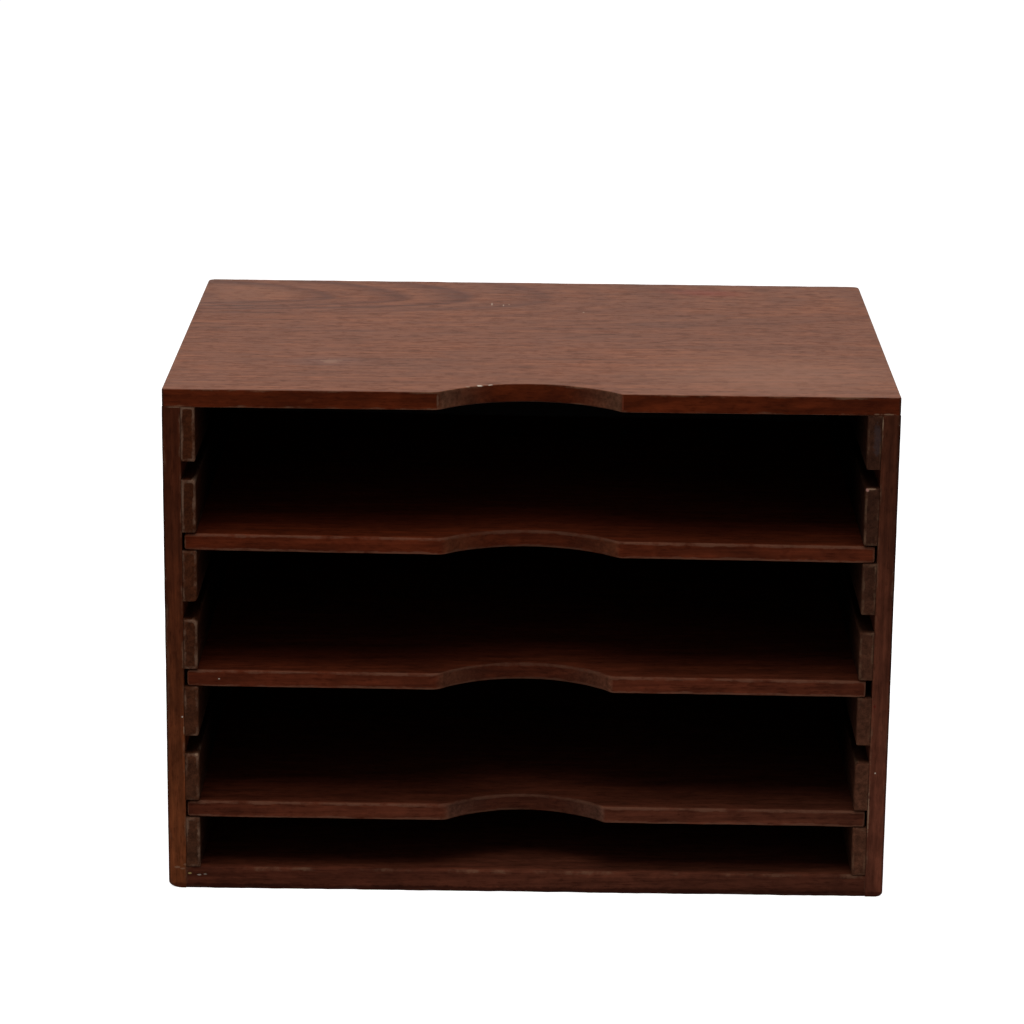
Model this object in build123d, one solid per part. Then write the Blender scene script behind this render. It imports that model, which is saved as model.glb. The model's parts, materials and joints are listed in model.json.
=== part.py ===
from build123d import *
import math
import os
from dataclasses import dataclass

# A horizontal paper rack: an open-fronted hardwood case whose sides carry a ladder of cleats,
# and three loose shelves that slide in the slots between the cleats.
# Millimetres. The origin is the middle of the footprint on the desk, +X right, +Y back, +Z up.


@dataclass(frozen=True)
class Scoop:
    """A finger scoop: a circular bite out of a front edge, its two corners softened."""

    centre: float  # across the width, from the middle of the rack
    mouth: float  # width at the front edge
    depth: float  # from the front edge to the deepest point
    left_corner: float  # radius that softens the left corner
    right_corner: float

    @property
    def radius(self):
        """Radius of the circle through both ends of the mouth and the deepest point."""
        half = self.mouth / 2
        return (half**2 + self.depth**2) / (2 * self.depth)


@dataclass(frozen=True)
class Shelf:
    """One loose shelf and the slots that it lies in."""

    name: str
    slot: int  # counted from 0, the lowest pair of slots
    left_gap: float  # from its left end to the side
    right_gap: float
    scoop: Scoop


# Boards of the case
WIDTH = 360.0
DEPTH = 260.0
TOP_THICKNESS = 9.0
SIDE_THICKNESS = 9.0
BOTTOM_THICKNESS = 11.4
BACK_THICKNESS = 4.0
REBATE_WIDTH = 4.5  # how far the back is let into each side
BACK_CLEARANCE = 0.2  # round the back, in its rebates
BACK_LIFT = 1.0  # lower edge of the back above the desk

# Cleats, bottom to top. The gaps between them are the slots.
CLEAT_THICKNESS = 7.0
CLEAT_HEIGHT = 26.0
# How much each left-hand cleat differs from that: the rack was set out and cut by hand.
CLEAT_CUTS = (0.1, -1.5, -0.5, -0.5, -0.2, 0.7, 1.5)
# Each right-hand slot was set out this much lower than the left-hand one, bottom to top.
RIGHT_SLOT_DROPS = (1.0, 0.5, 1.5, 2.5, 2.3, 0.0)

# Shelves and their clearances in the slots
SHELF_THICKNESS = 8.3
SHELF_REST = 0.3  # between a shelf and its slot's floor
SHELF_PLAY = 0.9  # between a shelf and its slot's ceiling
SHELF_RECESS = 1.5  # front edge of a shelf behind the front of the case
SHELF_REAR_GAP = 1.0  # between a shelf and the back
SHELVES = (
    Shelf("lower_shelf", 0, 0.7, 1.1, Scoop(-0.8, 80.0, 17.0, 8.0, 3.0)),
    Shelf("middle_shelf", 2, 1.5, 3.1, Scoop(-1.5, 87.0, 20.3, 10.0, 2.0)),
    Shelf("upper_shelf", 4, 1.0, 1.1, Scoop(0.5, 87.0, 17.8, 10.0, 6.0)),
)
TOP_SCOOP = Scoop(-0.5, 90.0, 19.6, 8.0, 2.0)

# Worn and eased edges, as radii
BOARD_ARRIS = 1.0  # long outer arrises of the case
JOINT_ARRIS = 0.4  # arrises that meet another board
TOP_FRONT_CORNER = 1.5  # the top, seen from above
TOP_REAR_CORNER = 3.0
FOOT_CORNER = 2.5  # outer lower edge of each side
CLEAT_ARRIS = 0.8  # along the edges that face a slot
CLEAT_FRONT_ARRIS = 0.4
SHELF_ARRIS = 0.8
SHELF_REAR_ARRIS = 0.5
SHELF_LEFT_END = 2.0  # the shelf's ends, seen from the front
SHELF_RIGHT_END = 1.2

# Loose tongues, hidden in grooves that stop short of the front and the rear
TONGUE_THICKNESS = 3.0
TONGUE_FIT = 0.1  # room for glue all round a tongue
TONGUE_STOP = 25.0  # from a tongue's end to the front or the rear
TONGUE_END_DEPTH = 8.0  # how far a tongue reaches into a board's end
TONGUE_SKIN = 4.0  # wood left outside a tongue, in the top or in a side

# Cut brads, square and tapered, that hold the back
BRAD_WIDTH = 1.8  # at the head
BRAD_TIP = 0.7
BRAD_LENGTH = 14.0
BRAD_FIT = 0.05  # round a brad
BRAD_INSET = 14.0  # first and last brad from the ends of a row
SIDE_BRADS = 5
BOTTOM_BRADS = 4

# Places closer than this along an axis are the same place
SAME_PLACE = 0.001

# Sizes that follow from those above
SLOT_HEIGHT = SHELF_REST + SHELF_THICKNESS + SHELF_PLAY
CLEAT_HEIGHTS = [CLEAT_HEIGHT + cut for cut in CLEAT_CUTS]
SLOT_COUNT = len(CLEAT_HEIGHTS) - 1
SIDE_HEIGHT = BOTTOM_THICKNESS + sum(CLEAT_HEIGHTS) + SLOT_COUNT * SLOT_HEIGHT
HEIGHT = SIDE_HEIGHT + TOP_THICKNESS
FRONT = -DEPTH / 2
REAR = DEPTH / 2
BACK_FACE = REAR - BACK_THICKNESS  # front face of the back
HALF_INSIDE = WIDTH / 2 - SIDE_THICKNESS  # middle of the rack to a side's inner face
HALF_BAY = HALF_INSIDE - CLEAT_THICKNESS  # middle of the rack to a cleat's face
REBATE_FACE = HALF_INSIDE + REBATE_WIDTH
SIDE_MIDDLE = (WIDTH - SIDE_THICKNESS) / 2  # middle of the rack to the middle of a side

LEFT = -1
RIGHT = 1
HANDS = {"left": LEFT, "right": RIGHT}


def spread(first, last, count):
    """Evenly spaced places from first to last."""
    step = (last - first) / (count - 1)
    return [first + step * index for index in range(count)]


def slot_floors(hand):
    """Height of each slot's floor above the desk on one side, bottom to top."""
    floors = []
    height = BOTTOM_THICKNESS
    for strip_height, drop in zip(CLEAT_HEIGHTS, RIGHT_SLOT_DROPS):
        height += strip_height
        floors.append(height - (drop if hand == RIGHT else 0.0))
        height += SLOT_HEIGHT
    return floors


def block(x_span, y_span, z_span):
    """A plain block between two places along each axis."""
    spans = (x_span, y_span, z_span)
    size = [high - low for low, high in spans]
    middle = [(high + low) / 2 for low, high in spans]
    return Pos(*middle) * Box(*size)


def plate(x_span, y_span):
    """A rectangle between two places along X and along Y."""
    size = [high - low for low, high in (x_span, y_span)]
    middle = [(high + low) / 2 for low, high in (x_span, y_span)]
    return Pos(*middle) * Rectangle(*size)


def at(edges, axis, place):
    """Those of the edges that lie at one place along an axis."""
    return edges.filter_by_position(axis, place - SAME_PLACE, place + SAME_PLACE)


def scooped(outline, scoop, front):
    """The outline with a finger scoop cut out of its front edge."""
    circle_y = front + scoop.depth - scoop.radius
    cut = outline - Pos(scoop.centre, circle_y) * Circle(scoop.radius)
    for side, radius in ((LEFT, scoop.left_corner), (RIGHT, scoop.right_corner)):
        tip = (scoop.centre + side * scoop.mouth / 2, front, 0)
        corner = cut.vertices().sort_by_distance(tip)[0]
        cut = fillet(corner, radius)
    return cut


def rim(solid, height):
    """The edges of a board that lie at one height."""
    return at(solid.edges(), Axis.Z, height)


def top_panel():
    """The top lies over both sides; its front edge has a finger scoop."""
    outline = plate((-WIDTH / 2, WIDTH / 2), (FRONT, REAR))
    outline = fillet(outline.vertices().group_by(Axis.Y)[0], TOP_FRONT_CORNER)
    outline = fillet(outline.vertices().group_by(Axis.Y)[-1], TOP_REAR_CORNER)
    board = extrude(scooped(outline, TOP_SCOOP, FRONT), TOP_THICKNESS)
    board = fillet(rim(board, TOP_THICKNESS), BOARD_ARRIS)
    board = chamfer(rim(board, 0.0), JOINT_ARRIS)
    board = Pos(0, 0, SIDE_HEIGHT) * board
    return board - top_tongue(LEFT, TONGUE_FIT) - top_tongue(RIGHT, TONGUE_FIT)


def side_panel(hand):
    """A side stands on the desk and is rebated at the rear to take the back."""
    outer = hand * WIDTH / 2
    inner = hand * HALF_INSIDE
    across = sorted((outer, inner))
    board = block(across, (FRONT, REAR), (0, SIDE_HEIGHT))
    upright = at(board.edges().filter_by(Axis.Z), Axis.X, outer)
    board = fillet(upright, BOARD_ARRIS)
    foot = at(rim(board, 0.0).filter_by(Axis.Y), Axis.X, outer)
    board = fillet(foot, FOOT_CORNER)
    rebate = sorted((inner, hand * REBATE_FACE))
    board -= block(rebate, (BACK_FACE, REAR), (0, SIDE_HEIGHT))
    board -= top_tongue(hand, TONGUE_FIT)
    board -= bottom_tongue(hand, TONGUE_FIT)
    for place in side_brad_places(hand):
        board -= place * brad(BRAD_FIT)
    return board


def bottom_panel():
    """The bottom lies between the sides, its front edge flush with theirs."""
    across = (-HALF_INSIDE, HALF_INSIDE)
    board = block(across, (FRONT, BACK_FACE), (0, BOTTOM_THICKNESS))
    arrises = at(board.edges().filter_by(Axis.X), Axis.Y, FRONT)
    board = fillet(arrises, BOARD_ARRIS)
    for hand in HANDS.values():
        board -= bottom_tongue(hand, TONGUE_FIT)
    for place in bottom_brad_places():
        board -= place * brad(BRAD_FIT)
    return board


def back_panel():
    """A thin back, let into the sides' rebates and covered by the top."""
    half = REBATE_FACE - BACK_CLEARANCE
    board = block((-half, half), (BACK_FACE, REAR), (BACK_LIFT, SIDE_HEIGHT - BACK_CLEARANCE))
    for place in back_brad_places():
        board -= place * brad(BRAD_FIT)
    return board


def cleat(hand, low, high, above_slot, below_slot):
    """One cleat, glued to a side from the front of the case to the back.

    Its arrises are eased where they face a slot, and along its inner and front faces.
    """
    glued = hand * HALF_INSIDE
    face = hand * HALF_BAY
    strip = block(sorted((glued, face)), (FRONT, BACK_FACE), (low, high))
    inner = at(strip.edges().filter_by(Axis.Y), Axis.X, face)
    eased = []
    if above_slot:
        eased += at(inner, Axis.Z, low)
    if below_slot:
        eased += at(inner, Axis.Z, high)
    strip = fillet(eased, CLEAT_ARRIS)
    front = at(strip.edges(), Axis.Y, FRONT)
    front = [edge for edge in front if abs(edge.center().X - glued) > CLEAT_ARRIS]
    if not above_slot:
        front = [edge for edge in front if edge.center().Z > low + CLEAT_ARRIS]
    if not below_slot:
        front = [edge for edge in front if edge.center().Z < high - CLEAT_ARRIS]
    return chamfer(front, CLEAT_FRONT_ARRIS)


def cleats(hand):
    """The ladder of cleats on one side, bottom to top."""
    floors = slot_floors(hand)
    lows = [BOTTOM_THICKNESS] + [floor + SLOT_HEIGHT for floor in floors]
    highs = floors + [SIDE_HEIGHT]
    last = len(lows) - 1
    return [
        cleat(hand, low, high, index > 0, index < last)
        for index, (low, high) in enumerate(zip(lows, highs))
    ]


def shelf_board(shelf):
    """A shelf with a finger scoop and rounded ends, seated on its two slot floors."""
    across = (shelf.left_gap - HALF_INSIDE, HALF_INSIDE - shelf.right_gap)
    front = FRONT + SHELF_RECESS
    rear = BACK_FACE - SHELF_REAR_GAP
    seen_from_above = scooped(plate(across, (front, rear)), shelf.scoop, front)
    section = plate(across, (0, SHELF_THICKNESS))
    section = fillet(section.vertices().group_by(Axis.X)[0], SHELF_LEFT_END)
    section = fillet(section.vertices().group_by(Axis.X)[-1], SHELF_RIGHT_END)
    rounded = Plane.XZ.offset(-rear) * extrude(section, rear - front)
    plank = extrude(seen_from_above, SHELF_THICKNESS) & rounded
    plank = chamfer(at(plank.edges(), Axis.Y, rear), SHELF_REAR_ARRIS)
    ends = at(plank.edges().filter_by(Axis.Z), Axis.Y, front).group_by(Axis.X)
    scoop_end = front + shelf.scoop.depth + SAME_PLACE
    rims = plank.edges().filter_by_position(Axis.Y, front - SAME_PLACE, scoop_end)
    rims = rims.filter_by(Axis.Z, reverse=True)
    plank = fillet(rims + ends[0] + ends[-1], SHELF_ARRIS)

    left_floor = slot_floors(LEFT)[shelf.slot]
    right_floor = slot_floors(RIGHT)[shelf.slot]
    tilt = math.degrees(math.atan2(left_floor - right_floor, 2 * HALF_BAY))
    seat = (left_floor + right_floor) / 2 + SHELF_REST
    return Pos(0, 0, seat) * Rot(0, tilt, 0) * plank


def top_tongue(hand, gap=0.0):
    """The tongue between one side and the top, or with a gap round it, its groove."""
    half = TONGUE_THICKNESS / 2 + gap
    middle = hand * SIDE_MIDDLE
    along = (FRONT + TONGUE_STOP - gap, REAR - TONGUE_STOP + gap)
    upright = (SIDE_HEIGHT - TONGUE_END_DEPTH - gap, HEIGHT - TONGUE_SKIN + gap)
    return block((middle - half, middle + half), along, upright)


def bottom_tongue(hand, gap=0.0):
    """The tongue between the end of the bottom and one side, or its groove."""
    half = TONGUE_THICKNESS / 2 + gap
    middle = BOTTOM_THICKNESS / 2
    inner = hand * (HALF_INSIDE - TONGUE_END_DEPTH - gap)
    outer = hand * (WIDTH / 2 - TONGUE_SKIN + gap)
    along = (FRONT + TONGUE_STOP - gap, REAR - TONGUE_STOP + gap)
    return block(sorted((inner, outer)), along, (middle - half, middle + half))


def brad(gap=0.0):
    """A brad driven from the origin towards -Z, or with a gap round it, the hole it makes."""
    head = BRAD_WIDTH / 2 + gap
    tip = BRAD_TIP / 2 + gap
    length = BRAD_LENGTH + gap
    corners = [(-head, 0), (head, 0), (tip, -length), (-tip, -length)]
    taper = make_face(Polyline(*corners, close=True))
    across, along = (extrude(plane * taper, head, both=True) for plane in (Plane.XZ, Plane.YZ))
    return across & along


def driven(x, z):
    """A place on the outside of the back, facing into the case."""
    return Pos(x, REAR, z) * Rot(-90, 0, 0)


def side_brad_places(hand):
    """Brads from the back into one side, up the middle of the wood in its rebate."""
    middle = hand * (REBATE_FACE - REBATE_WIDTH / 2)
    heights = spread(BACK_LIFT + BRAD_INSET, SIDE_HEIGHT - BRAD_INSET, SIDE_BRADS)
    return [driven(middle, z) for z in heights]


def bottom_brad_places():
    """Brads from the back into the rear edge of the bottom."""
    half = HALF_INSIDE - TONGUE_END_DEPTH - BRAD_INSET
    return [driven(x, BOTTOM_THICKNESS / 2) for x in spread(-half, half, BOTTOM_BRADS)]


def back_brad_places():
    """All the brads of the back."""
    return side_brad_places(LEFT) + side_brad_places(RIGHT) + bottom_brad_places()


def build():
    """Every piece of the rack by its name."""
    pieces = {
        "top_panel": top_panel(),
        "bottom_panel": bottom_panel(),
        "back_panel": back_panel(),
        "back_brads": Compound(children=[place * brad() for place in back_brad_places()]),
    }
    for word, hand in HANDS.items():
        pieces[f"{word}_side_panel"] = side_panel(hand)
        for number, strip in enumerate(cleats(hand), start=1):
            pieces[f"{word}_cleat_{number}"] = strip
        pieces[f"{word}_top_tongue"] = top_tongue(hand)
        pieces[f"{word}_bottom_tongue"] = bottom_tongue(hand)
    for shelf in SHELVES:
        pieces[shelf.name] = shelf_board(shelf)
    return pieces


os.makedirs("parts", exist_ok=True)
for name, piece in build().items():
    export_step(piece, f"parts/{name}.step")
print(f"paper rack {WIDTH:g} x {DEPTH:g} x {HEIGHT:g} mm, slots {SLOT_HEIGHT:g} mm high")
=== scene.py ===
# %% [markdown]
# # A paper rack in dark stained wood
#
# The rack is a case with a ladder of strips, here called cleats, up each side, and three loose shelves
# in the slots between them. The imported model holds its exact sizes. Everything made below fits them.
#
# The first step loads that model. Its boards are true to size, but every arris on them is as even as
# a drawing's. A rack that has been on a desk for decades has none like that, so most of the lesson
# rebuilds the boards as surfaces whose arrises wander, and then gives them a wood that is solid all
# the way through.

# %% Load the frame
import json

import bpy
import numpy as np
from mathutils import Matrix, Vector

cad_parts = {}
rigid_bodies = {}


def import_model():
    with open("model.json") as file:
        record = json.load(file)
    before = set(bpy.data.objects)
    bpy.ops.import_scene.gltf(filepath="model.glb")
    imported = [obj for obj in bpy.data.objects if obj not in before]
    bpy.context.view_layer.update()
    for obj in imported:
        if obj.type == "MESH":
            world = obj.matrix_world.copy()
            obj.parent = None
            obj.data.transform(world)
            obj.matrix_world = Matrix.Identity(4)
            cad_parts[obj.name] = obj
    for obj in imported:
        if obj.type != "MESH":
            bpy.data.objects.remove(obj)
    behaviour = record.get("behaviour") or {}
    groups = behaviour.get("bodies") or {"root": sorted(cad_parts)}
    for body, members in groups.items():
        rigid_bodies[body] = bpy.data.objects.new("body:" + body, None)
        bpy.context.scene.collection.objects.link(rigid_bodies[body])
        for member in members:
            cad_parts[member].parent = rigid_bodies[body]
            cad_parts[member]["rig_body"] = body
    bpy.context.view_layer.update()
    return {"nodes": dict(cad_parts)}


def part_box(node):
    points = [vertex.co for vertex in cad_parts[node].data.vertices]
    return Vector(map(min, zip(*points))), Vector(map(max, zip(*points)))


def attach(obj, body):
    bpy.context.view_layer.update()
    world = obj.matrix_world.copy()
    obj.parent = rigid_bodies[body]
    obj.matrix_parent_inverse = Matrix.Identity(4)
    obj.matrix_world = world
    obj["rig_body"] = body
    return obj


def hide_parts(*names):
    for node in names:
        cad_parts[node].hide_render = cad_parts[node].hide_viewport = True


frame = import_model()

MM = 0.001
print("pieces in the packed model:", len(frame["nodes"]))

# %% [markdown]
# ## The camera
#
# The photograph was taken from in front and a little above, from well back, with a long lens. That is
# why the sides hardly converge. A camera could be aimed by eye. It is more certain to find the place and
# the three angles that put the case's corners where the photograph has them, and to write those down.
# A new camera looks straight down. The pitch lifts it to look ahead, less what it looks down, and the
# yaw and the roll turn it slightly about the upright and about its own line of sight.

# %% Camera
CAMERA_PLACE = (3.424 * MM, -1860.036 * MM, 678.581 * MM)
CAMERA_YAW = -0.007058
CAMERA_PITCH = 0.270373
CAMERA_ROLL = 0.01067
FOCAL_PIXELS = 3663.0
IMAGE_PIXELS = 1024
SENSOR_WIDTH = 36.0
QUARTER = np.pi / 2

camera_data = bpy.data.cameras.new("camera")
camera_data.sensor_width = SENSOR_WIDTH
camera_data.lens = FOCAL_PIXELS * SENSOR_WIDTH / IMAGE_PIXELS
camera = bpy.data.objects.new("camera", camera_data)
yaw = Matrix.Rotation(-CAMERA_YAW, 4, "Z")
pitch = Matrix.Rotation(QUARTER - CAMERA_PITCH, 4, "X")
roll = Matrix.Rotation(CAMERA_ROLL, 4, "Z")
camera.matrix_world = Matrix.Translation(CAMERA_PLACE) @ yaw @ pitch @ roll
bpy.context.scene.collection.objects.link(camera)
bpy.context.scene.camera = camera
print(f"lens {camera_data.lens:.1f} mm")

# %% [markdown]
# ## Writing nodes in short lines
#
# A material is a sheet of nodes joined by links. Adding each by hand takes five lines, so the helpers
# below add one and feed its inputs in a single call. An input takes a number, a colour or the output
# of another node.

# %% Helpers for nodes
NODE_STEP = 210
NODES_IN_ROW = 9


def tree_of(values):
    """The tree of nodes that the first output among some values lies in."""
    return next(value.id_data for value in values if isinstance(value, bpy.types.NodeSocket))


def feed(socket, value):
    """Links an output to an input, or sets the input's own value."""
    if isinstance(value, bpy.types.NodeSocket):
        socket.id_data.links.new(value, socket)
    else:
        socket.default_value = value


def add(kind, inputs=(), tree=None, **settings):
    """Adds a node. inputs is a list in the node's own order, or a dictionary by input name.

    It joins the tree that its inputs come from. A node without inputs has to be told its tree.
    """
    pairs = inputs if isinstance(inputs, dict) else dict(enumerate(inputs))
    tree = tree or tree_of(pairs.values())
    place = len(tree.nodes)
    made = tree.nodes.new("ShaderNode" + kind)
    made.location = (place % NODES_IN_ROW * NODE_STEP, -(place // NODES_IN_ROW) * 2 * NODE_STEP)
    for name, value in settings.items():
        setattr(made, name, value)
    for key, value in pairs.items():
        feed(made.inputs[key], value)
    return made


def maths(operation, *values, clamp=False):
    """One step of arithmetic on numbers."""
    return add("Math", values, operation=operation, use_clamp=clamp).outputs[0]


def times(product, *others):
    """Numbers multiplied together."""
    for value in others:
        product = maths("MULTIPLY", product, value)
    return product


def vector(operation, *values):
    """One step of arithmetic on vectors."""
    return add("VectorMath", values, operation=operation).outputs[0]


def parts(point):
    """The three coordinates of a point."""
    return list(add("SeparateXYZ", [point]).outputs)


def noise(point, scale=1.0, detail=2.0, roughness=0.5):
    """Soft noise from 0 to 1 in space."""
    inputs = {"Vector": point, "Scale": scale, "Detail": detail, "Roughness": roughness}
    return add("TexNoise", inputs).outputs["Fac"]


def grain_noise(point, along, across, **settings):
    """Noise drawn out along the grain, with so many waves per metre along it and across it."""
    return noise(vector("MULTIPLY", point, (along, across, across)), **settings)


def ramp(value, low, high, to_low=0.0, to_high=1.0):
    """Turns a range of a value into another range, with soft ends."""
    inputs = {"Value": value, "From Min": low, "From Max": high, "To Min": to_low, "To Max": to_high}
    return add("MapRange", inputs, interpolation_type="SMOOTHSTEP").outputs["Result"]


def about_one(value, low, high, amount):
    """Turns a range of a value evenly into 1 - amount to 1 + amount."""
    least, most = maths("SUBTRACT", 1.0, amount), maths("ADD", 1.0, amount)
    inputs = {"Value": value, "From Min": low, "From Max": high, "To Min": least, "To Max": most}
    return add("MapRange", inputs).outputs["Result"]


def mix(share, first, second, blend="MIX"):
    """A colour between two colours."""
    tree = tree_of((share, first, second))
    made = add("Mix", tree=tree, data_type="RGBA", blend_type=blend, clamp_factor=True)
    feed(made.inputs["Factor"], share)
    colours = [socket for socket in made.inputs if socket.type == "RGBA"]
    feed(colours[0], first)
    feed(colours[1], second)
    return [socket for socket in made.outputs if socket.type == "RGBA"][0]


def new_group(name, outputs, vectors=(), colours=(), numbers=()):
    """An empty node group with named sockets. An output called Color is one, the rest are numbers."""
    group = bpy.data.node_groups.new(name, "ShaderNodeTree")
    for kind, names in (("Vector", vectors), ("Color", colours), ("Float", numbers)):
        for socket in names:
            group.interface.new_socket(socket, in_out="INPUT", socket_type="NodeSocket" + kind)
    for socket in outputs:
        kind = "NodeSocketColor" if socket == "Color" else "NodeSocketFloat"
        group.interface.new_socket(socket, in_out="OUTPUT", socket_type=kind)
    entry = group.nodes.new("NodeGroupInput")
    leave = group.nodes.new("NodeGroupOutput")
    return group, entry.outputs, leave.inputs


def use(group, inputs):
    """Places a node group and feeds its inputs by name."""
    tree = tree_of(inputs.values())
    made = tree.nodes.new("ShaderNodeGroup")
    made.node_tree = group
    made.location = (len(tree.nodes) * NODE_STEP, 0)
    for name, value in inputs.items():
        feed(made.inputs[name], value)
    return made.outputs


print("node helpers ready")

# %% [markdown]
# ## Growth rings
#
# Wood's figure isn't painted on its faces. A tree grows in rings round its pith, and a board is a flat
# cut through them: long lines where the cut runs along the tree, and arches where it slopes
# across the rings. So the pattern is worked out in space, as the distance from a pith line that leans
# away from the board. The arches at the back of the top, and the lines that rise to the right in front
# of them, then come out of the same few numbers. No tree is quite round. With the last of these numbers
# below 1, the rings are thicker on the far side of the pith, which is why the arches lean.

# %% Growth rings
POINT = ["Point"]
GROWTH = ["Pith Across", "Pith Depth", "Lean", "Ring Width", "Wander", "Far Side"]
rings, given, out = new_group("growth rings", ["Rings", "Late Wood", "Radius"], POINT, numbers=GROWTH)
wander = maths("SUBTRACT", grain_noise(given["Point"], 5, 24, detail=3.0), 0.5)
wander = times(wander, given["Wander"], 4.0)
x, y, z = parts(given["Point"])
across = maths("ADD", maths("SUBTRACT", y, given["Pith Across"]), wander)
across = maths("MINIMUM", across, times(across, given["Far Side"]))
leaning = maths("MULTIPLY_ADD", x, given["Lean"], given["Pith Depth"])
depth = maths("ADD", maths("SUBTRACT", leaning, z), wander)
square = maths("ADD", times(across, across), times(depth, depth))
radius = maths("SQRT", square)
feed(out["Radius"], radius)
count = maths("DIVIDE", radius, given["Ring Width"])
uneven = add("TexNoise", {"W": count, "Scale": 0.9, "Detail": 2.0}, noise_dimensions="1D")
feed(out["Rings"], ramp(uneven.outputs["Fac"], 0.32, 0.68))
feed(out["Late Wood"], ramp(maths("FRACT", count), 0.45, 0.95))
print("rings from the pith line")

# %% [markdown]
# ## Fibres and pores
#
# Between the rings a hardwood shows fine fibres and the cut-open pores that the dark stain has filled.
# Both are noise, drawn out along the grain: its waves are short across the board and long along it. The
# pores are the peaks of a finer noise, so they come out as separate short dashes.
#
# Where a face cuts the grain square across, as on the ends of the cleats, the fibres are seen end on.
# That takes its own speckle, with as many waves one way as the other.

# %% Fibres, pores and end grain
DOTS_PER_METRE = 1100.0
looks = ["Fibres", "Pores", "Bunches", "Streaks", "Mottle"]
fibres, given, out = new_group("fibres and pores", looks, POINT)
point = given["Point"]
feed(out["Fibres"], grain_noise(point, 22, 700, detail=4.0, roughness=0.65))
bunches = ramp(grain_noise(point, 150, 330, detail=3.0, roughness=0.6), 0.44, 0.64)
dashes = ramp(grain_noise(point, 130, 1700), 0.46, 0.62)
feed(out["Pores"], times(dashes, ramp(bunches, 0.0, 1.0, 0.3, 1.0)))
feed(out["Bunches"], bunches)
feed(out["Streaks"], grain_noise(point, 7, 170, detail=3.0))
feed(out["Mottle"], grain_noise(point, 60, 190, detail=5.0, roughness=0.65))

end_grain, given, out = new_group("end grain", ["Speckle", "Dots"], POINT)
point = given["Point"]
feed(out["Speckle"], noise(point, scale=520, detail=4.0, roughness=0.7))
cells = add("TexVoronoi", {"Vector": point, "Scale": DOTS_PER_METRE}).outputs["Distance"]
feed(out["Dots"], ramp(cells, 0.32, 0.12))
print("fibres, pores and end grain")

# %% [markdown]
# ## Worn and highlit arrises
#
# Hands and paper rub the stain off a board's arrises first. The wear isn't an even line: it comes and
# goes every few millimetres. Each rebuilt board below carries an attribute, edge, with the distance in
# millimetres to its nearest arris. This group turns that into a mask whose reach is broken up by noise.
# The pale colour laid on through this mask is both bare wood and a painted highlight where an arris
# catches the light.

# %% Worn and highlit arrises
BREAK_SOFTNESS = 0.12
ARRIS = ["Edge", "Reach", "Broken"]
worn_and_lit, given, out = new_group("worn and highlit arrises", ["Wear"], POINT, numbers=ARRIS)
patchy = noise(given["Point"], scale=190, detail=4.0, roughness=0.65)
here = times(given["Reach"], ramp(patchy, 0.34, 0.66, 0.35, 1.5))
rubbed_and_lit = ramp(given["Edge"], here, times(here, 0.3))
gaps = noise(given["Point"], scale=75, detail=5.0, roughness=0.7)
gap_low = maths("SUBTRACT", given["Broken"], BREAK_SOFTNESS)
gap_high = maths("ADD", given["Broken"], BREAK_SOFTNESS)
feed(out["Wear"], times(rubbed_and_lit, ramp(gaps, gap_low, gap_high)))
print("worn and highlit arrises")

# %% [markdown]
# ## Painted shade in the bays
#
# The bays are painted dark: a hand's width in, the wood's colour is nearly black, as the shade there
# would make it. The mask below is 1 outside the case and at the front of every board, and falls
# towards the back for whatever lies between the sides, above the bottom and under the top. It
# drops at once by half behind the front faces, because light only grazes what lies there. A shelf that
# is drawn out keeps its painted shade, so at the back it is dark brown, not black.

# %% Painted shade in the bays
INSIDE_HALF = 171.6 * MM
INSIDE_LOW = 10.0 * MM
INSIDE_HIGH = 250.4 * MM
FRONT_FACE = -130.0 * MM
INSIDE_BACK = 127.0 * MM
SOFT = 0.3 * MM
GRAZED = 0.5
SHADE_CURVE = 1.1
FLOOR_LIT_AT_DESK, FLOOR_LIT_RIGHTWARDS, FLOOR_LIT_FALL = 1.01, 0.8, -3.6
light = ["Kept Light", "Fade Run"]
bay_shade_group, given, out = new_group("painted bay shade", ["Shade", "Low"], ["Place"], numbers=light)
x, y, z = parts(given["Place"])
sideways = maths("ABSOLUTE", x)
between = ramp(sideways, INSIDE_HALF + SOFT, INSIDE_HALF - SOFT)
above = ramp(z, INSIDE_LOW - SOFT, INSIDE_LOW + SOFT)
below = ramp(z, INSIDE_HIGH + SOFT, INSIDE_HIGH - SOFT)
before = ramp(y, INSIDE_BACK + SOFT, INSIDE_BACK - SOFT)
inside = times(between, before, above, below)
behind = maths("SUBTRACT", y, FRONT_FACE)
behind = maths("DIVIDE", behind, given["Fade Run"], clamp=True)
open_to_light = maths("POWER", maths("SUBTRACT", 1.0, behind), SHADE_CURVE)
grazed = ramp(y, FRONT_FACE + 2.0 * MM, FRONT_FACE + 5.0 * MM, 1.0, GRAZED)
lost = maths("SUBTRACT", 1.0, times(open_to_light, grazed))
lost = times(inside, lost, maths("SUBTRACT", 1.0, given["Kept Light"]))
feed(out["Shade"], maths("SUBTRACT", 1.0, lost))
# The second output is the share of painted floor light: a paler colour low down and towards the right,
# standing in for light thrown up from the white floor.
rightwards = maths("MULTIPLY_ADD", x, FLOOR_LIT_RIGHTWARDS, FLOOR_LIT_AT_DESK)
floor_lit_share = maths("MULTIPLY_ADD", z, FLOOR_LIT_FALL, rightwards, clamp=True)
feed(out["Low"], times(floor_lit_share, floor_lit_share))
print("painted bay shade")
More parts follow.
